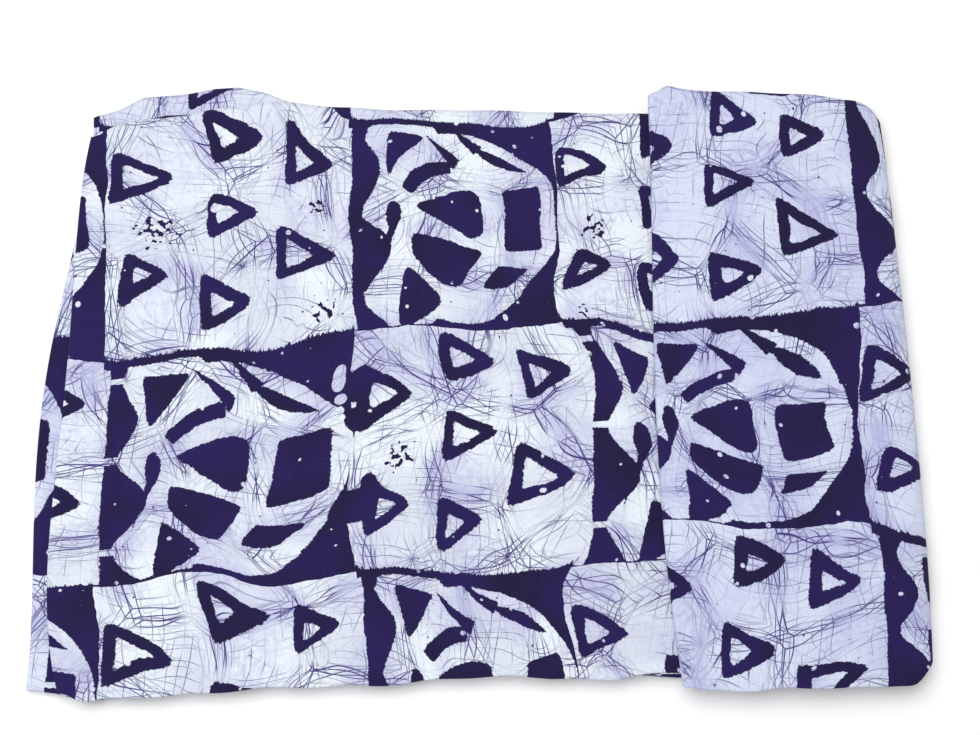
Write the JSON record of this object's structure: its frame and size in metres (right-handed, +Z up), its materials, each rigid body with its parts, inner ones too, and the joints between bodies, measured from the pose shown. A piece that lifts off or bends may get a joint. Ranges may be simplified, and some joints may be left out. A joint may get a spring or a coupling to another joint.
{
  "type": "folded batik cloth",
  "caption": "Wax-resist dyed cotton sheet folded flat back and forth into a rectangular bundle, with a narrow flap over its right side.",
  "frame": {"origin": "middle of the footprint, on the surface that the bundle lies on", "axes": "+X along the long side, to the viewer's right, where the roll and the flap are; +Y away from the viewer, to the selvedges; +Z up"},
  "size_m": [0.6374, 0.48, 0.0195],
  "materials": {
    "cotton": "matt plain-weave cotton, wax-resist dyed in deep violet indigo on a pale violet-white ground"
  },
  "bodies": {
    "root": {"batik_cloth": "cotton"}
  },
  "joints": []
}
